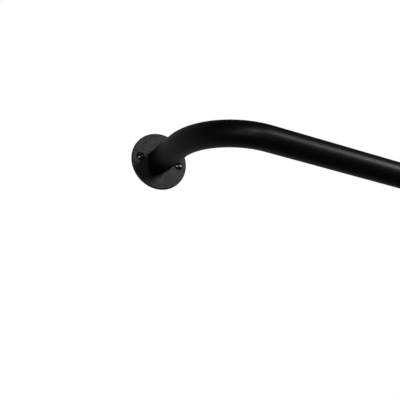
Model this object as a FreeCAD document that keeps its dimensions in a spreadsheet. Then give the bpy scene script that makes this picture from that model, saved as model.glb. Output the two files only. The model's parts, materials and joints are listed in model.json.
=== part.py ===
import FreeCAD, Part
import math
import os

import Sketcher
from FreeCAD import Placement, Rotation, Vector

# Wraparound curtain rod: two bent steel tubes that telescope, each ending on a round wall bracket.
#
# Row frame, in millimetres: +X along the rod, +Z up, and -Y out of the wall, whose face is the plane Y = 0.
# The origin is the centre of the left wall plate's back face. The driving dimensions are in the sheet below,
# and every sub-part takes its sizes from that sheet through formulas.

FOLDER = "parts"
UNTURNED = Rotation()
FACING_ROOM = Rotation(Vector(1, 0, 0), 90)      # a piece's own +Z points to -Y, out of the wall
ALONG_ROD = Rotation(Vector(0, 1, 0), 90)        # a piece's own +Z points to +X
POINTING_DOWN = Rotation(Vector(1, 0, 0), 180)   # a piece's own +Z points to -Z
SCREW_TURNS = {"left": (72, 46), "right": (12, 68)}   # degrees that the outer and inner wall screws end at

DIMENSIONS = {
    # the rod as a whole
    "span": (762.0, "centre to centre of the brackets, as stored"),
    "reach": (109.0, "wall to the rod's centre line"),
    "bend_radius": (62.5, "centre line of both bends"),
    "end_gap": (0.3, "tube end to wall plate"),
    "seat_gap": (0.02, "coating between faces that are seated on each other"),
    "run_gap": (0.1, "radial play of a sliding or turning fit"),
    "break_edge": (0.4, "chamfer on the ends of small pieces"),
    # the wide tube, on the left
    "wide_od": (25.4, "outside diameter"),
    "wide_bore": (23.8, "inside diameter"),
    "wide_end": (640.0, "X of its open mouth"),
    # the slim tube, on the right, which slides in the wide one
    "slim_od": (22.2, "outside diameter"),
    "slim_bore": (20.6, "inside diameter"),
    "slim_straight": (572.0, "length of its straight run"),
    # wall plate
    "plate_od": (59.0, "diameter"),
    "plate_thick": (2.8, "thickness"),
    "plate_edge": (0.7, "round on its front edge"),
    "screw_spacing": (41.5, "wall screw centres"),
    "screw_hole": (4.9, "clearance hole of a wall screw"),
    "sink_od": (9.2, "countersink at the front face"),
    # wall screw
    "head_od": (8.4, "head diameter"),
    "head_dome": (1.0, "height of the raised head"),
    "shank_od": (4.2, "shank and thread crest diameter"),
    "root_od": (2.9, "thread root diameter"),
    "thread_pitch": (1.8, "thread pitch"),
    "smooth_length": (3.0, "smooth shank behind the wall plane"),
    "thread_length": (6.0, "threaded length"),
    "tip_length": (3.2, "length of the point"),
    # cross recess of every screw
    "cross_span": (4.6, "width over the cross"),
    "cross_arm": (0.95, "width of one arm"),
    "cross_depth": (1.9, "depth"),
    # post that carries the tube's end, and the screw that holds it on the plate
    "post_od": (14.0, "diameter"),
    "post_length": (26.0, "length in front of the plate"),
    "post_lead": (1.2, "chamfer on its free end"),
    "post_thread": (5.0, "diameter of its tapped hole"),
    "post_thread_depth": (13.0, "depth of its tapped hole"),
    "post_hole": (5.3, "clearance hole in the plate"),
    "post_sink_od": (9.3, "countersink at the plate's back face"),
    "post_screw_length": (12.0, "post screw over all"),
    # split sleeve between post and tube
    "sleeve_length": (24.0, "length"),
    "sleeve_start": (0.6, "clear of the plate"),
    "sleeve_lead": (0.8, "how far the ribs stop short of its free end"),
    "sleeve_slot": (7.4, "slot along its underside"),
    "rib_height": (1.0, "height of its ribs"),
    "rib_width": (2.4, "width of its ribs"),
    # clamp screw, and the nut swaged in the tube's underside
    "clamp_from_wall": (13.5, "wall to the clamp screw's axis"),
    "clamp_od": (4.0, "screw diameter"),
    "clamp_gap": (0.03, "radial play of the screw in its nut"),
    "clamp_tip_gap": (0.1, "screw tip to the post"),
    "wide_clamp_length": (5.0, "screw in the wide tube"),
    "slim_clamp_length": (4.0, "screw in the slim tube"),
    "hex_flats": (2.0, "socket across flats"),
    "hex_depth": (1.8, "socket depth"),
    "nut_od": (6.5, "nut diameter"),
    "nut_inside": (1.0, "how far the nut stands in the tube's bore"),
    # collar in the wide tube's mouth
    "collar_od": (27.0, "lip diameter"),
    "collar_lip": (4.0, "lip length"),
    "collar_round": (1.2, "round on the lip's front edge"),
    "collar_inside": (18.0, "length inside the wide tube"),
    # glide on the slim tube's hidden end
    "glide_head": (10.0, "head length"),
    "glide_plug": (18.0, "length inside the slim tube"),
    "glide_bore": (13.0, "bore"),
}


class Size:
    """A dimension that knows its value and the formula that it comes from."""

    def __init__(self, value, formula):
        self.value = value
        self.formula = formula

    def __add__(self, other):
        return Size(self.value + number(other), f"({self.formula} + {text(other)})")

    def __sub__(self, other):
        return Size(self.value - number(other), f"({self.formula} - {text(other)})")

    def __mul__(self, factor):
        return Size(self.value * factor, f"({self.formula} * {factor})")

    def __truediv__(self, divisor):
        return Size(self.value / divisor, f"({self.formula} / {divisor})")

    def __neg__(self):
        return Size(-self.value, f"(0 - {self.formula})")


def number(size):
    return size.value if isinstance(size, Size) else size


def text(size):
    return size.formula if isinstance(size, Size) else str(size)


class Sizes:
    """The sheet's dimensions by name: sizes.plate_od is a Size."""

    def __init__(self, document):
        sheet = document.addObject("Spreadsheet::Sheet", "sizes")
        for row, (alias, (value, note)) in enumerate(DIMENSIONS.items(), start=1):
            sheet.set(f"A{row}", alias)
            sheet.set(f"B{row}", str(value))
            sheet.set(f"C{row}", note)
            sheet.setAlias(f"B{row}", alias)
            setattr(self, alias, Size(value, f"sizes.{alias}"))
        document.recompute()


# ---------------------------------------------------------------- bodies and sketches


def new_body(label, rotation, x, y=None):
    """An empty body whose own frame is turned by rotation and moved along the row's X and Y."""
    body = doc.addObject("PartDesign::Body", label)
    body.Label = label
    body.Placement = Placement(Vector(0, 0, 0), rotation)
    body.setExpression("Placement.Base.x", x.formula)
    if y is not None:
        body.setExpression("Placement.Base.y", y.formula)
    return body


def new_sketch(body, name, plane="XY_Plane", offset=None):
    """A sketch on one of the body's own origin planes, moved along that plane's normal by offset."""
    sketch = body.newObject("Sketcher::SketchObject", f"{body.Label}_{name}")
    planes = {feature.Role: feature for feature in body.Origin.OriginFeatures}
    sketch.AttachmentSupport = [(planes[plane], "")]
    sketch.MapMode = "FlatFace"
    if offset is not None:
        sketch.setExpression("AttachmentOffset.Base.z", offset.formula)
    return sketch


def rule(sketch, size, kind, *places):
    """A dimension of a sketch, bound to the size's formula."""
    index = sketch.addConstraint(Sketcher.Constraint(kind, *places, size.value))
    sketch.setExpression(f"Constraints[{index}]", size.formula)


def pin_point(sketch, curve, end, x, y):
    """Holds a point of a curve at x, y. A plain 0 puts it on the axis."""
    for kind, axis, size in (("DistanceX", -2, x), ("DistanceY", -1, y)):
        if isinstance(size, Size):
            rule(sketch, size, kind, -1, 1, curve, end)
        else:
            sketch.addConstraint(Sketcher.Constraint("PointOnObject", curve, end, axis))


def add_circle(sketch, diameter, x=0, y=0):
    centre = Vector(number(x), number(y), 0)
    curve = sketch.addGeometry(Part.Circle(centre, Vector(0, 0, 1), diameter.value / 2), False)
    pin_point(sketch, curve, 3, x, y)
    rule(sketch, diameter, "Diameter", curve)


def add_line(sketch, start, end):
    """Returns the line's index, and the numbers of its ends at start and at end."""
    return sketch.addGeometry(Part.LineSegment(start, end), False), 1, 2


def add_arc(sketch, start, end, radius):
    """An arc that turns left from start to end, or right if the radius is negative. Returns as add_line."""
    chord = end - start
    left = Vector(-chord.y, chord.x, 0).normalize()
    rise = math.sqrt(radius.value**2 - (chord.Length / 2) ** 2)
    centre = start + chord / 2 + left * math.copysign(rise, radius.value)
    at_start, at_end = [math.atan2(point.y - centre.y, point.x - centre.x) for point in (start, end)]
    circle = Part.Circle(centre, Vector(0, 0, 1), abs(radius.value))
    if radius.value > 0:
        curve = sketch.addGeometry(Part.ArcOfCircle(circle, at_start, at_end), False)
        rule(sketch, radius, "Radius", curve)
        return curve, 1, 2
    curve = sketch.addGeometry(Part.ArcOfCircle(circle, at_end, at_start), False)
    rule(sketch, -radius, "Radius", curve)
    return curve, 2, 1


def add_outline(sketch, corners, closed=True):
    """Joins corners, each (x, y), with lines. A third entry is the radius of an arc that ends there."""
    points = [Vector(number(corner[0]), number(corner[1]), 0) for corner in corners]
    curves = []
    for i in range(len(corners) if closed else len(corners) - 1):
        j = (i + 1) % len(corners)
        if len(corners[j]) > 2:
            curves.append(add_arc(sketch, points[i], points[j], corners[j][2]))
        else:
            curves.append(add_line(sketch, points[i], points[j]))
        pin_point(sketch, curves[i][0], curves[i][1], *corners[i][:2])
    for (curve, _, end), (after, start, _) in zip(curves, curves[1:]):
        sketch.addConstraint(Sketcher.Constraint("Coincident", curve, end, after, start))
    last, _, end = curves[-1]
    if closed:
        sketch.addConstraint(Sketcher.Constraint("Coincident", last, end, curves[0][0], curves[0][1]))
    else:
        pin_point(sketch, last, end, *corners[-1][:2])


# ---------------------------------------------------------------- features


def checked(body, feature, grows):
    """Recomputes, and stops if the feature adds or removes nothing."""
    before = feature.BaseFeature.Shape.Volume if feature.BaseFeature else 0.0
    doc.recompute()
    change = feature.Shape.Volume - before
    if change == 0 or (change > 0) != grows:
        raise RuntimeError(f"{feature.Name} changes the volume of {body.Label} by {change:.3f}")
    return feature


def pad(body, sketch, length, name="pad"):
    feature = body.newObject("PartDesign::Pad", f"{body.Label}_{name}")
    feature.Profile = sketch
    feature.setExpression("Length", length.formula)
    return checked(body, feature, grows=True)


def pocket(body, sketch, length, name, forward=True):
    """Cuts along the sketch's normal, or against it."""
    feature = body.newObject("PartDesign::Pocket", f"{body.Label}_{name}")
    feature.Profile = sketch
    feature.Reversed = forward
    feature.setExpression("Length", length.formula)
    return checked(body, feature, grows=False)


def revolve(body, sketch):
    """Turns a sketch about its own vertical axis."""
    feature = body.newObject("PartDesign::Revolution", f"{body.Label}_turned")
    feature.Profile = sketch
    feature.ReferenceAxis = (sketch, ["V_Axis"])
    feature.Angle = 360
    return checked(body, feature, grows=True)


def rim(shape, diameter, height):
    """Names of the shape's circular edges of this diameter whose centre is at this height."""
    names = []
    for i, edge in enumerate(shape.Edges, start=1):
        curve = edge.Curve
        if not isinstance(curve, Part.Circle):
            continue
        same_size = abs(curve.Radius * 2 - diameter.value) < 0.01
        if same_size and abs(curve.Center.z - number(height)) < 0.01:
            names.append(f"Edge{i}")
    return names


def fillet(body, base, edges, radius, name):
    feature = body.newObject("PartDesign::Fillet", f"{body.Label}_{name}")
    feature.Base = (base, edges)
    feature.setExpression("Radius", radius.formula)
    return checked(body, feature, grows=False)


def chamfer(body, base, edges, size, name):
    feature = body.newObject("PartDesign::Chamfer", f"{body.Label}_{name}")
    feature.Base = (base, edges)
    feature.setExpression("Size", size.formula)
    return checked(body, feature, grows=False)


def cross_corners(span, arm):
    """The twelve corners of a cross."""
    far = span / 2
    near = arm / 2
    half = [(far, -near), (far, near), (near, near), (near, far), (-near, far), (-near, near)]
    return half + [(-x, -y) for x, y in half]


def cross_recess(body, mouth_height, floor_height):
    """A cross recess that tapers from its mouth to its floor, along the body's own Z."""
    sections = []
    for name, height, span, arm in (("mouth", mouth_height, 1, 1), ("floor", floor_height, 0.36, 0.72)):
        sketch = new_sketch(body, f"cross_{name}", offset=height)
        add_outline(sketch, cross_corners(sizes.cross_span * span, sizes.cross_arm * arm))
        sections.append(sketch)
    recess = body.newObject("PartDesign::SubtractiveLoft", f"{body.Label}_cross")
    recess.Profile = sections[0]
    recess.Sections = sections[1:]
    recess.Ruled = True
    return checked(body, recess, grows=False)


# ---------------------------------------------------------------- wall bracket


def make_wall_plate(side, x):
    """Round plate, countersunk in front for two wall screws and behind for the post screw."""
    s = sizes
    body = new_body(f"{side}_wall_plate", FACING_ROOM, x)
    disc = new_sketch(body, "disc")
    add_circle(disc, s.plate_od)
    plate = pad(body, disc, s.plate_thick)
    rounded = fillet(body, plate, rim(plate.Shape, s.plate_od, s.plate_thick), s.plate_edge, "front_edge")
    back_edge = rim(rounded.Shape, s.plate_od, 0)
    chamfer(body, rounded, back_edge, s.break_edge, "back_edge")

    holes = new_sketch(body, "holes")
    add_circle(holes, s.screw_hole, -s.screw_spacing / 2)
    add_circle(holes, s.screw_hole, s.screw_spacing / 2)
    add_circle(holes, s.post_hole)
    drilled = pocket(body, holes, s.plate_thick, "drilled")
    front = rim(drilled.Shape, s.screw_hole, s.plate_thick)
    sunk = chamfer(body, drilled, front, (s.sink_od - s.screw_hole) / 2, "countersinks")
    back = rim(sunk.Shape, s.post_hole, 0)
    chamfer(body, sunk, back, (s.post_sink_od - s.post_hole) / 2, "back_countersink")
    return body


def make_post(side, x):
    """Turned post, tapped from behind. The rod's end goes over it."""
    s = sizes
    body = new_body(f"{side}_post", FACING_ROOM, x)
    foot = s.plate_thick + s.seat_gap
    bar = new_sketch(body, "bar", offset=foot)
    add_circle(bar, s.post_od)
    turned = pad(body, bar, s.post_length)
    chamfer(body, turned, rim(turned.Shape, s.post_od, foot + s.post_length), s.post_lead, "lead")
    hole = new_sketch(body, "hole", offset=foot)
    add_circle(hole, s.post_thread)
    pocket(body, hole, s.post_thread_depth, "tapped")
    return body


def make_post_screw(side, x):
    """Countersunk machine screw that holds the post on the plate, flush with the plate's back face."""
    s = sizes
    body = new_body(f"{side}_post_screw", FACING_ROOM, x)
    head = s.post_sink_od / 2 - s.run_gap
    shank = s.post_thread / 2 - s.clamp_gap
    profile = new_sketch(body, "profile", "XZ_Plane")
    add_outline(profile, [
        (0, 0),
        (head, 0),
        (shank, head - shank),
        (shank, s.post_screw_length - s.break_edge),
        (shank - s.break_edge, s.post_screw_length),
        (0, s.post_screw_length),
    ])
    revolve(body, profile)
    cross_recess(body, -s.seat_gap, s.cross_depth)
    return body


def make_wall_screw(name, x, turn):
    """Raised countersunk wood screw, seated in the plate, driven until its cross stands at turn degrees."""
    s = sizes
    body = new_body(name, FACING_ROOM * Rotation(Vector(0, 0, 1), turn), x)
    head = s.head_od / 2
    shank = s.shank_od / 2
    head_rim = s.plate_thick - (s.sink_od - s.head_od) / 2 + s.seat_gap
    crown = head_rim + s.head_dome
    thread_end = -(s.smooth_length + s.thread_length)
    radius = (head.value**2 + s.head_dome.value**2) / (2 * s.head_dome.value)
    dome = Size(radius, f"(({head.formula} ^ 2 + {s.head_dome.formula} ^ 2) / (2 * {s.head_dome.formula}))")
    profile = new_sketch(body, "profile", "XZ_Plane")
    add_outline(profile, [
        (0, thread_end - s.tip_length),
        (shank, thread_end),
        (shank, head_rim - (head - shank)),
        (head, head_rim),
        (0, crown, dome),
    ])
    revolve(body, profile)
    cut_thread(body)
    cross_recess(body, crown + s.seat_gap, crown - s.cross_depth)
    return body


def cut_thread(body):
    """The helical groove of a wood screw, from the smooth shank to the point."""
    s = sizes
    root = s.root_od / 2
    outside = s.shank_od / 2 + s.run_gap * 2
    floor_width = s.thread_pitch * 0.5
    flank = s.thread_pitch * 0.265
    top = -(s.smooth_length + flank)
    groove = new_sketch(body, "groove", "XZ_Plane")
    add_outline(groove, [
        (root, top),
        (root, top - floor_width),
        (outside, top - floor_width - flank),
        (outside, top + flank),
    ])
    thread = body.newObject("PartDesign::SubtractiveHelix", f"{body.Label}_thread")
    thread.Profile = groove
    thread.ReferenceAxis = (groove, ["V_Axis"])
    thread.Mode = 0
    thread.Reversed = True
    thread.setExpression("Pitch", s.thread_pitch.formula)
    thread.setExpression("Height", (s.thread_length + s.tip_length - s.thread_pitch).formula)
    return checked(body, thread, grows=False)


def make_post_sleeve(side, x, bore):
    """Split sleeve that fits the post to the tube's bore: a ribbed ring, open along its underside."""
    s = sizes
    body = new_body(f"{side}_post_sleeve", FACING_ROOM, x)
    foot = s.plate_thick + s.sleeve_start
    outside = bore - s.run_gap * 3
    inside = s.post_od + s.run_gap * 2
    ring = new_sketch(body, "ring", offset=foot)
    add_circle(ring, outside - s.rib_height * 2)
    add_circle(ring, inside)
    pad(body, ring, s.sleeve_length, "ring_pad")

    half = s.rib_width / 2
    low = inside / 2 + s.rib_height / 2
    high = outside / 2
    rib = new_sketch(body, "rib", offset=foot)
    add_outline(rib, [(-half, low), (half, low), (half, high), (-half, high)])
    first_rib = pad(body, rib, s.sleeve_length - s.sleeve_lead, "rib_pad")
    ribs = body.newObject("PartDesign::PolarPattern", f"{body.Label}_ribs")
    ribs.Originals = [first_rib]
    ribs.Axis = (rib, ["N_Axis"])
    ribs.Angle = 360
    ribs.Occurrences = 6
    body.Tip = ribs
    checked(body, ribs, grows=True)

    edge = s.sleeve_slot / 2
    slot = new_sketch(body, "slot", offset=foot)
    add_outline(slot, [(-edge, -outside), (edge, -outside), (edge, -inside / 4), (-edge, -inside / 4)])
    pocket(body, slot, s.sleeve_length, "split")
    return body


# ---------------------------------------------------------------- clamp screw


def make_clamp_nut(side, x, tube_od, bore):
    """Threaded bush swaged in the tube's underside. Its outer face follows the tube's surface."""
    s = sizes
    body = new_body(f"{side}_clamp_nut", POINTING_DOWN, x, -s.clamp_from_wall)
    inner_end = bore / 2 - s.nut_inside
    ring = new_sketch(body, "ring", offset=inner_end)
    add_circle(ring, s.nut_od)
    add_circle(ring, s.clamp_od + s.clamp_gap * 2)
    pad(body, ring, tube_od / 2 - inner_end)
    beyond_tube = new_sketch(body, "beyond_tube", "XZ_Plane")
    add_circle(beyond_tube, tube_od)
    add_circle(beyond_tube, tube_od * 1.5)
    saddle = body.newObject("PartDesign::Pocket", f"{body.Label}_saddle")
    saddle.Profile = beyond_tube
    saddle.SideType = "Symmetric"
    saddle.setExpression("Length", (s.nut_od * 2).formula)
    checked(body, saddle, grows=False)
    return body


def make_clamp_screw(side, x, length):
    """Socket set screw, its tip just off the post."""
    s = sizes
    body = new_body(f"{side}_clamp_screw", POINTING_DOWN, x, -s.clamp_from_wall)
    tip = s.post_od / 2 + s.clamp_tip_gap
    head = tip + length
    radius = s.clamp_od / 2
    profile = new_sketch(body, "profile", "XZ_Plane")
    add_outline(profile, [
        (0, tip),
        (radius - s.break_edge, tip),
        (radius, tip + s.break_edge),
        (radius, head - s.break_edge),
        (radius - s.break_edge, head),
        (0, head),
    ])
    revolve(body, profile)
    flat = s.hex_flats / 2
    corner = s.hex_flats / math.sqrt(3)
    socket = new_sketch(body, "socket", offset=head)
    add_outline(socket, [
        (flat, -corner / 2),
        (flat, corner / 2),
        (0, corner),
        (-flat, corner / 2),
        (-flat, -corner / 2),
        (0, -corner),
    ])
    pocket(body, socket, s.hex_depth, "hex", forward=False)
    return body


# ---------------------------------------------------------------- tubes and what slides in them


def sweep_tube(body, od, bore, path_corners):
    """A tube along lines and arcs in the row's horizontal plane, from the wall outwards."""
    path = new_sketch(body, "path")
    add_outline(path, path_corners, closed=False)
    section = new_sketch(body, "section", "XZ_Plane", offset=sizes.plate_thick + sizes.end_gap)
    add_circle(section, od)
    add_circle(section, bore)
    tube = body.newObject("PartDesign::AdditivePipe", f"{body.Label}_pipe")
    tube.Profile = section
    tube.Spine = (path, ["Edge1", "Edge2", "Edge3"])
    return checked(body, tube, grows=True)


def make_tube(name, x, direction, od, bore, straight):
    """Tube that leaves the wall plate, bends by a quarter turn and runs along X in this direction."""
    s = sizes
    body = new_body(name, UNTURNED, x)
    turn = s.bend_radius * direction
    sweep_tube(body, od, bore, [
        (0, -(s.plate_thick + s.end_gap)),
        (0, -(s.reach - s.bend_radius)),
        (turn, -s.reach, turn),
        (turn + straight * direction, -s.reach),
    ])
    nut_hole = new_sketch(body, "nut_hole")
    add_circle(nut_hole, s.nut_od + s.seat_gap * 2, 0, -s.clamp_from_wall)
    pocket(body, nut_hole, od, "nut_hole_cut", forward=False)
    return body


def make_collar():
    """Lipped ring pressed in the wide tube's mouth, which guides the slim tube."""
    s = sizes
    body = new_body("telescope_collar", ALONG_ROD, s.wide_end, -s.reach)
    hole = s.slim_od / 2 + s.run_gap
    shell = s.wide_bore / 2 - s.seat_gap
    lip = s.collar_od / 2
    profile = new_sketch(body, "profile", "XZ_Plane")
    add_outline(profile, [
        (hole, -s.collar_inside),
        (shell - s.break_edge, -s.collar_inside),
        (shell, s.break_edge - s.collar_inside),
        (shell, s.seat_gap),
        (lip, s.seat_gap),
        (lip, s.collar_lip - s.collar_round),
        (lip - s.collar_round, s.collar_lip, s.collar_round),
        (hole, s.collar_lip),
    ])
    revolve(body, profile)
    return body


def make_glide():
    """Bush on the slim tube's hidden end. It slides in the wide tube, and the slim tube turns on its plug."""
    s = sizes
    tube_end = s.span - s.bend_radius - s.slim_straight
    body = new_body("glide_bush", ALONG_ROD, tube_end - s.end_gap, -s.reach)
    hole = s.glide_bore / 2
    head = s.wide_bore / 2 - s.run_gap
    plug = s.slim_bore / 2 - s.run_gap
    profile = new_sketch(body, "profile", "XZ_Plane")
    add_outline(profile, [
        (hole, -s.glide_head),
        (head - s.break_edge, -s.glide_head),
        (head, s.break_edge - s.glide_head),
        (head, 0),
        (plug, 0),
        (plug, s.glide_plug - s.break_edge),
        (plug - s.break_edge, s.glide_plug),
        (hole, s.glide_plug),
    ])
    revolve(body, profile)
    return body


# ---------------------------------------------------------------- the whole rod


def make_end(side, x, outward, tube_od, bore, clamp_length):
    """Every piece at one end of the rod but its tube. Outward is +1 or -1, away from the rod along X."""
    outer_turn, inner_turn = SCREW_TURNS[side]
    to_screw = sizes.screw_spacing / 2 * outward
    return [
        make_wall_plate(side, x),
        make_post(side, x),
        make_post_screw(side, x),
        make_wall_screw(f"{side}_outer_wall_screw", x + to_screw, outer_turn),
        make_wall_screw(f"{side}_inner_wall_screw", x - to_screw, inner_turn),
        make_post_sleeve(side, x, bore),
        make_clamp_nut(side, x, tube_od, bore),
        make_clamp_screw(side, x, clamp_length),
    ]


def check_document(pieces):
    """Stops unless every object is up to date and every piece is one valid solid."""
    for item in doc.Objects:
        if "Invalid" in item.State or "Error" in item.State:
            raise RuntimeError(f"{item.Name} is {item.State}")
        if item.isDerivedFrom("Sketcher::SketchObject") and not item.FullyConstrained:
            raise RuntimeError(f"{item.Name} isn't fully constrained")
    for body in pieces:
        shape = body.Shape
        if shape.isNull() or not shape.isValid() or len(shape.Solids) != 1:
            raise RuntimeError(f"{body.Label} isn't one valid solid")


def write_pieces(pieces):
    os.makedirs(FOLDER, exist_ok=True)
    for body in pieces:
        body.Shape.exportStep(os.path.join(FOLDER, f"{body.Label}.step"))
        print(f"{body.Label}: {body.Shape.Volume:.0f} mm3")


doc = FreeCAD.newDocument("wraparound_curtain_rod")
sizes = Sizes(doc)

left_x = Size(0.0, "0")
right_x = sizes.span
wide_straight = sizes.wide_end - sizes.bend_radius
pieces = [
    make_tube("outer_tube", left_x, 1, sizes.wide_od, sizes.wide_bore, wide_straight),
    make_tube("inner_tube", right_x, -1, sizes.slim_od, sizes.slim_bore, sizes.slim_straight),
    make_collar(),
    make_glide(),
]
pieces += make_end("left", left_x, -1, sizes.wide_od, sizes.wide_bore, sizes.wide_clamp_length)
pieces += make_end("right", right_x, 1, sizes.slim_od, sizes.slim_bore, sizes.slim_clamp_length)
doc.recompute()
check_document(pieces)
write_pieces(pieces)
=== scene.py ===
import json
import math

import bmesh
import bpy
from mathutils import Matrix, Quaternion, Vector


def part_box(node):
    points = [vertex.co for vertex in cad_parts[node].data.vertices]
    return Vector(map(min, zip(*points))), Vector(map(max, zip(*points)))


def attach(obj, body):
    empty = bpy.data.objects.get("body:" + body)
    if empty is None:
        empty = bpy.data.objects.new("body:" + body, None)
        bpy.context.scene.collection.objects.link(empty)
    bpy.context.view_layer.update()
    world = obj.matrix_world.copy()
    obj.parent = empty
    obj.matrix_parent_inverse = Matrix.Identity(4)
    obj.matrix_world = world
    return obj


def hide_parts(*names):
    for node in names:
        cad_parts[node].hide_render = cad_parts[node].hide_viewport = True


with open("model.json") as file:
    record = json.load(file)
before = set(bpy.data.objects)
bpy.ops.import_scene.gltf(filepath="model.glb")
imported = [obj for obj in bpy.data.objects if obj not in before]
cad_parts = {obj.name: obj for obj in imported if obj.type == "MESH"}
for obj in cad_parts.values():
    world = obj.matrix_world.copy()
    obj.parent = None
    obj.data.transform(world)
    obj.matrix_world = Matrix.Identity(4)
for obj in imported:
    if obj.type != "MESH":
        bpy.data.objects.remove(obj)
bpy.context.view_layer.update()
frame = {"nodes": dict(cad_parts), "record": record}

# A wraparound curtain rod, in metres: +X along the rod, +Z up, the wall at Y = 0 and the room at -Y.
# The tubes are swept again with a fine section; every other piece keeps its CAD mesh. Each piece has a
# procedural material whose scales are in cycles per metre.

MOUNTS = {mount["name"]: mount for mount in frame["record"]["mounts"]}

# ---------------------------------------------------------------- camera

CAMERA_PLACE = Vector((-0.2508, -0.6365, -0.2899))
CAMERA_AZIMUTH = math.radians(-25.213)
CAMERA_ELEVATION = math.radians(-20.274)
CAMERA_ROLL = math.radians(3.785)
CAMERA_LENS = 66.18    # mm
SENSOR_WIDTH = 36      # mm


def towards(azimuth, elevation):
    """Unit vector from the object towards a viewer or a light. Azimuth 0 is straight in front, at -Y."""
    return Vector((
        math.sin(azimuth) * math.cos(elevation),
        -math.cos(azimuth) * math.cos(elevation),
        math.sin(elevation),
    ))


def make_camera():
    data = bpy.data.cameras.new("camera")
    data.lens = CAMERA_LENS
    data.sensor_width = SENSOR_WIDTH
    camera = bpy.data.objects.new("camera", data)
    bpy.context.scene.collection.objects.link(camera)
    camera.location = CAMERA_PLACE
    camera.rotation_mode = "QUATERNION"
    level = (-towards(CAMERA_AZIMUTH, CAMERA_ELEVATION)).to_track_quat("-Z", "Y")
    camera.rotation_quaternion = level @ Quaternion((0, 0, 1), CAMERA_ROLL)
    bpy.context.scene.camera = camera


# ---------------------------------------------------------------- material helpers


class Shader:
    """A new material with short calls for the nodes that this scene uses."""

    def __init__(self, name):
        self.material = bpy.data.materials.new(name)
        self.material.use_nodes = True
        self.tree = self.material.node_tree
        self.bsdf = self.tree.nodes["Principled BSDF"]
        self.place = self.node("ShaderNodeTexCoord").outputs["Object"]

    def node(self, kind, **inputs):
        made = self.tree.nodes.new(kind)
        for name, value in inputs.items():
            self.feed(made.inputs[name.replace("_", " ")], value)
        return made

    def feed(self, socket, value):
        if isinstance(value, bpy.types.NodeSocket):
            self.tree.links.new(value, socket)
        else:
            socket.default_value = value

    def set(self, **inputs):
        """Sets or links sockets of the surface shader."""
        for name, value in inputs.items():
            self.feed(self.bsdf.inputs[name.replace("_", " ")], value)

    def stretch(self, x, y, z):
        """The object's coordinates, scaled differently along each axis."""
        mapping = self.node("ShaderNodeMapping", Vector=self.place)
        mapping.inputs["Scale"].default_value = (x, y, z)
        return mapping.outputs["Vector"]

    def noise(self, scale, detail=2.0, roughness=0.5, place=None):
        made = self.node("ShaderNodeTexNoise", Vector=place or self.place, Scale=scale, Detail=detail)
        made.inputs["Roughness"].default_value = roughness
        return made.outputs["Fac"]

    def between(self, value, low, high, start=0.3, end=0.7):
        """A number that goes from low to high as value goes from start to end."""
        made = self.node("ShaderNodeMapRange", Value=value)
        made.inputs["From Min"].default_value = start
        made.inputs["From Max"].default_value = end
        made.inputs["To Min"].default_value = low
        made.inputs["To Max"].default_value = high
        return made.outputs["Result"]

    def blend(self, value, first, second, start=0.3, end=0.7):
        """A colour that goes from first to second as value goes from start to end."""
        ramp = self.node("ShaderNodeValToRGB", Fac=value)
        low, high = ramp.color_ramp.elements
        low.position, high.position = start, end
        low.color, high.color = (*first, 1), (*second, 1)
        return ramp.outputs["Color"]

    def bump(self, height, depth, below=None):
        """Surface relief: height is 0 to 1 and depth is in metres."""
        made = self.node("ShaderNodeBump", Height=height, Distance=depth)
        if below is not None:
            self.feed(made.inputs["Normal"], below)
        return made.outputs["Normal"]


# ---------------------------------------------------------------- materials


def powder_coat():
    """Matte black powder coat: a fine orange peel, a sandy grain and slightly uneven gloss."""
    s = Shader("powder_coat")
    peel = s.noise(650, detail=1.5)
    grain = s.noise(3200, detail=2.0)
    patches = s.noise(38, detail=3.0)
    s.set(
        Base_Color=s.blend(patches, (0.0038, 0.0038, 0.0042), (0.0052, 0.0052, 0.0056)),
        Roughness=s.between(s.noise(120, detail=3.0), 0.345, 0.405),
        Normal=s.bump(grain, 0.000012, s.bump(peel, 0.00006)),
    )
    return s.material


def screw_black():
    """Glossy black enamel on the wall screws."""
    s = Shader("screw_black")
    s.set(
        Base_Color=s.blend(s.noise(400), (0.008, 0.008, 0.009), (0.014, 0.014, 0.015)),
        Roughness=s.between(s.noise(900, detail=3.0), 0.12, 0.18),
        Specular_IOR_Level=0.8,
        Normal=s.bump(s.noise(1500, detail=2.0), 0.00001),
    )
    return s.material


def zinc_steel():
    """Turned, zinc-plated steel, with fine tool marks round the post."""
    s = Shader("zinc_steel")
    marks = s.noise(1.0, detail=4.0, place=s.stretch(60, 9000, 60))
    s.set(
        Metallic=1.0,
        Base_Color=s.blend(s.noise(55, detail=4.0), (0.56, 0.55, 0.52), (0.68, 0.68, 0.67)),
        Roughness=s.between(marks, 0.22, 0.38),
        Normal=s.bump(marks, 0.00001),
    )
    return s.material


def black_oxide():
    """Black-oxide alloy steel, lightly oiled."""
    s = Shader("black_oxide")
    s.set(
        Metallic=0.85,
        Base_Color=s.blend(s.noise(900, detail=4.0), (0.035, 0.034, 0.035), (0.07, 0.066, 0.062)),
        Roughness=s.between(s.noise(1400, detail=4.0), 0.28, 0.42),
        Normal=s.bump(s.noise(4000), 0.000006),
    )
    return s.material


def nylon(name, dark, light):
    """Moulded nylon with a soft sheen and faint flow marks."""
    s = Shader(name)
    s.set(
        Base_Color=s.blend(s.noise(70, detail=3.0), dark, light),
        Roughness=s.between(s.noise(700, detail=3.0), 0.42, 0.55),
        Normal=s.bump(s.noise(1600, detail=3.0), 0.00002),
        Subsurface_Weight=0.12,
        Subsurface_Scale=0.002,
    )
    return s.material


def tube_bore():
    """The uncoated inside of a steel tube: dark mill finish with drawing lines and a little rust."""
    s = Shader("tube_bore")
    s.set(
        Metallic=0.9,
        Base_Color=s.blend(s.noise(120, detail=5.0), (0.14, 0.125, 0.11), (0.24, 0.235, 0.23)),
        Roughness=s.between(s.noise(500, detail=4.0), 0.42, 0.62),
        Normal=s.bump(s.noise(900, detail=3.0), 0.00003),
    )
    return s.material


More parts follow.
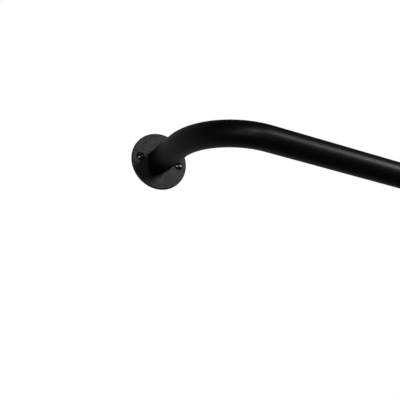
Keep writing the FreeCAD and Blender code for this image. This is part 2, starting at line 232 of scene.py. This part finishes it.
MATERIALS = {
    "powder_coat": powder_coat(),
    "screw_black": screw_black(),
    "zinc_steel": zinc_steel(),
    "black_oxide": black_oxide(),
    "nylon_black": nylon("nylon_black", (0.018, 0.018, 0.019), (0.026, 0.026, 0.028)),
    "nylon_natural": nylon("nylon_natural", (0.60, 0.57, 0.49), (0.72, 0.69, 0.61)),
}
BORE = tube_bore()


def finish_cad_nodes():
    """Gives every CAD node the material of its slot."""
    for part in frame["record"]["subparts"]:
        mesh = frame["nodes"][part["node"]].data
        mesh.materials.clear()
        mesh.materials.append(MATERIALS[part["material_slot"]])


# ---------------------------------------------------------------- tubes

# The wide tube's straight run starts where its bend ends, at X = BEND_RADIUS.
BEND_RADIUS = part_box("outer_tube")[1].x - MOUNTS["wide_curtain_run"]["dims"]["length_mm"] / 1000
TUBE_WALL = 0.0008
AROUND = 96                  # facets round a tube
BEND_STEPS = 56              # rings along a bend
RUN_STEP = 0.004             # ring spacing on the straight stretches
LIP = 0.00025                # round on the edges of a tube's end
LIP_STEPS = 3
HOLE_PLAY = 0.00002          # how much wider a nut's hole is than the nut, on each side
HOLE_SIDES = 64
SHARP = math.radians(40)     # edges that turn more than this are shaded as corners


def tube_path(end_y, reach, bend, run_length, x, direction):
    """Centre points and tangents from the wall outwards: straight leg, quarter bend, straight run."""
    along = Vector((direction, 0, 0))
    out = Vector((0, -1, 0))
    bend_centre = Vector((x + direction * bend, -(reach - bend), 0))
    leg = reach - bend + end_y
    stations = []
    for i in range(steps(leg)):
        stations.append((Vector((x, end_y, 0)) + out * (leg * i / steps(leg)), out))
    for i in range(BEND_STEPS):
        turn = math.pi / 2 * i / BEND_STEPS
        tangent = out * math.cos(turn) + along * math.sin(turn)
        outward = out * math.sin(turn) - along * math.cos(turn)
        stations.append((bend_centre + outward * bend, tangent))
    run_start = bend_centre + out * bend
    for i in range(steps(run_length) + 1):
        stations.append((run_start + along * (run_length * i / steps(run_length)), along))
    return stations


def steps(length):
    return max(1, math.ceil(length / RUN_STEP))


def tube_rings(stations, radius, bore):
    """(centre, tangent, radius) of each ring: along the surface, over the lip, back through the bore."""
    first, last = stations[0], stations[-1]
    outside = [(point, tangent, radius) for point, tangent in stations]
    outside[0] = (first[0] + first[1] * LIP, first[1], radius)
    outside[-1] = (last[0] - last[1] * LIP, last[1], radius)
    inside = [(point, tangent, bore) for point, tangent, _ in reversed(outside)]
    return outside + lip(last, 1, radius, bore) + inside + lip(first, -1, bore, radius)


def lip(station, sign, start_radius, end_radius):
    """The rings of a tube's end face, with both of its edges rounded."""
    point, tangent = station
    inwards = math.copysign(LIP, end_radius - start_radius)
    arriving = []
    leaving = []
    for i in range(1, LIP_STEPS + 1):
        turn = math.pi / 2 * i / LIP_STEPS
        centre = point - tangent * sign * LIP * (1 - math.sin(turn))
        rounding = inwards * (1 - math.cos(turn))
        arriving.append((centre, tangent, start_radius + rounding))
        leaving.append((centre, tangent, end_radius - rounding))
    return arriving + leaving[::-1]


def sweep(rings, bore):
    """A closed mesh round the rings. The faces of the bore get the second material."""
    mesh = bmesh.new()
    loops = []
    for centre, tangent, radius in rings:
        level = tangent.cross(Vector((0, 0, 1))).normalized()
        turns = [2 * math.pi * i / AROUND for i in range(AROUND)]
        loops.append([
            mesh.verts.new(centre + (level * math.cos(turn) + Vector((0, 0, math.sin(turn)))) * radius)
            for turn in turns
        ])
    for k, near in enumerate(loops):
        following = (k + 1) % len(loops)
        far = loops[following]
        in_bore = max(rings[k][2], rings[following][2]) < bore + LIP / 4
        for i in range(AROUND):
            j = (i + 1) % AROUND
            face = mesh.faces.new((near[i], near[j], far[j], far[i]))
            face.smooth = True
            face.material_index = 1 if in_bore else 0
    bmesh.ops.recalc_face_normals(mesh, faces=mesh.faces)
    return mesh


def drill(tube, nut, radius):
    """Cuts the clamp nut's hole in the tube's underside."""
    low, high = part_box(nut)
    centre = (low + high) / 2
    hole = (high.x - low.x) / 2 + HOLE_PLAY
    cutter = bmesh.new()
    bmesh.ops.create_cone(
        cutter, cap_ends=True, segments=HOLE_SIDES, radius1=hole, radius2=hole, depth=radius)
    bmesh.ops.translate(cutter, verts=cutter.verts, vec=(centre.x, centre.y, -radius))
    mesh = bpy.data.meshes.new("cutter")
    cutter.to_mesh(mesh)
    cutter.free()
    tool = bpy.data.objects.new("cutter", mesh)
    bpy.context.scene.collection.objects.link(tool)
    cut = tube.modifiers.new("drill", "BOOLEAN")
    cut.operation = "DIFFERENCE"
    cut.solver = "EXACT"
    cut.object = tool
    bpy.context.view_layer.update()
    tube.data = bpy.data.meshes.new_from_object(tube.evaluated_get(bpy.context.evaluated_depsgraph_get()))
    tube.modifiers.clear()
    bpy.data.objects.remove(tool)
    sharpen(tube.data)


def sharpen(mesh):
    """Keeps the shading of the tube's surface apart from the walls of the hole in it."""
    edges = bmesh.new()
    edges.from_mesh(mesh)
    for edge in edges.edges:
        edge.smooth = edge.calc_face_angle(0) < SHARP
    edges.to_mesh(mesh)
    edges.free()


def make_tube(node, side, run, body):
    """A fine sweep of one tube, in place of its CAD node."""
    mount = MOUNTS[run]
    radius = mount["dims"]["r_mm"] / 1000
    reach = -mount["pos_m"][1]
    low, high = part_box(node)
    x = MOUNTS[f"{side}_wall_mount"]["pos_m"][0]
    direction = 1 if side == "left" else -1
    far_end = high.x if side == "left" else low.x
    stations = tube_path(high.y, reach, BEND_RADIUS, abs(far_end - x) - BEND_RADIUS, x, direction)
    bore = radius - TUBE_WALL
    mesh = sweep(tube_rings(stations, radius, bore), bore)
    data = bpy.data.meshes.new(f"{node}_fine")
    mesh.to_mesh(data)
    mesh.free()
    data.materials.append(MATERIALS["powder_coat"])
    data.materials.append(BORE)
    tube = bpy.data.objects.new(f"{node}_fine", data)
    bpy.context.scene.collection.objects.link(tube)
    drill(tube, f"{side}_clamp_nut", radius)
    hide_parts(node)
    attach(tube, body)


# ---------------------------------------------------------------- studio

BEND = Vector((0.08, -0.1, 0))      # where the rod leaves its left bend
PLATE = Vector((0, 0, 0))           # the left wall plate

# Angles are in degrees, lengths in metres and power in watts.
LIGHTS = {
    "key": dict(azimuth=59.7, elevation=27.5, distance=4.5, width=3.2, height=1.1, power=54, aim=BEND),
    "fill": dict(azimuth=22.8, elevation=25, distance=2.6, width=0.45, height=0.45, power=3.8, aim=BEND),
    "side": dict(azimuth=103, elevation=8, distance=3.0, width=1.4, height=1.4, power=0.6, aim=BEND),
    "low": dict(azimuth=-18.3, elevation=-13.7, distance=2.6, width=1.2, height=1.2, power=3.1, aim=BEND),
    "front": dict(azimuth=-2, elevation=13, distance=2.6, width=0.26, height=0.26, power=4.3, aim=PLATE),
}

# What the object mirrors of the world: a glow round one direction behind it, which fades with the cosine
# of the angle from there.
GLOW_FROM = Vector((-0.40, 0.91, -0.11))
GLOW_COSINES = (-0.04, 0.96)        # where the glow starts and where it is full
GLOW_LEVELS = (0.025, 0.24)         # its strength there

FLOOR_SIZE = 60
FLOOR_DROP = 1.6                    # below the rod


def make_light(name, azimuth, elevation, distance, width, height, power, aim):
    """A soft area light at this direction and distance from the point that it aims at."""
    data = bpy.data.lights.new(name, "AREA")
    data.shape = "RECTANGLE"
    data.size = width
    data.size_y = height
    data.energy = power
    light = bpy.data.objects.new(name, data)
    bpy.context.scene.collection.objects.link(light)
    direction = towards(math.radians(azimuth), math.radians(elevation))
    light.location = aim + direction * distance
    light.rotation_mode = "QUATERNION"
    light.rotation_quaternion = (-direction).to_track_quat("-Z", "Y")
    light.visible_camera = False


def make_world():
    """White behind the object. The object itself mirrors a dim glow from behind it and little else."""
    world = bpy.data.worlds.new("studio")
    bpy.context.scene.world = world
    world.use_nodes = True
    nodes, links = world.node_tree.nodes, world.node_tree.links
    across = nodes.new("ShaderNodeVectorMath")
    across.operation = "DOT_PRODUCT"
    across.inputs[1].default_value = GLOW_FROM
    links.new(nodes.new("ShaderNodeTexCoord").outputs["Generated"], across.inputs[0])
    glow = nodes.new("ShaderNodeMapRange")
    glow.interpolation_type = "SMOOTHSTEP"
    links.new(across.outputs["Value"], glow.inputs["Value"])
    glow.inputs["From Min"].default_value, glow.inputs["From Max"].default_value = GLOW_COSINES
    glow.inputs["To Min"].default_value, glow.inputs["To Max"].default_value = GLOW_LEVELS
    path = nodes.new("ShaderNodeLightPath")
    seen = nodes.new("ShaderNodeMix")
    seen.data_type = "RGBA"
    seen.inputs["B"].default_value = (1, 1, 1, 1)
    links.new(path.outputs["Is Camera Ray"], seen.inputs["Factor"])
    links.new(glow.outputs["Result"], seen.inputs["A"])
    links.new(seen.outputs["Result"], nodes["Background"].inputs["Color"])


def make_floor():
    """A plain pale floor well below the rod. It is bright in itself, and the rod doesn't mirror it."""
    bpy.ops.mesh.primitive_plane_add(size=FLOOR_SIZE, location=(0, 0, -FLOOR_DROP))
    floor = bpy.context.object
    floor.name = "floor"
    s = Shader("floor")
    tone = s.blend(s.noise(1.5, detail=2.0), (0.815, 0.815, 0.81), (0.83, 0.83, 0.825))
    s.set(Base_Color=tone, Roughness=0.6, Emission_Color=tone, Emission_Strength=0.95)
    floor.data.materials.append(s.material)
    floor.visible_diffuse = False
    floor.visible_glossy = False


def make_studio():
    make_world()
    make_floor()
    for name, settings in LIGHTS.items():
        make_light(name, **settings)
    bpy.context.scene.view_settings.view_transform = "Standard"


# ---------------------------------------------------------------- the scene

finish_cad_nodes()
make_tube("outer_tube", "left", "wide_curtain_run", "outer_half")
make_tube("inner_tube", "right", "slim_curtain_run", "inner_half")
make_camera()
make_studio()
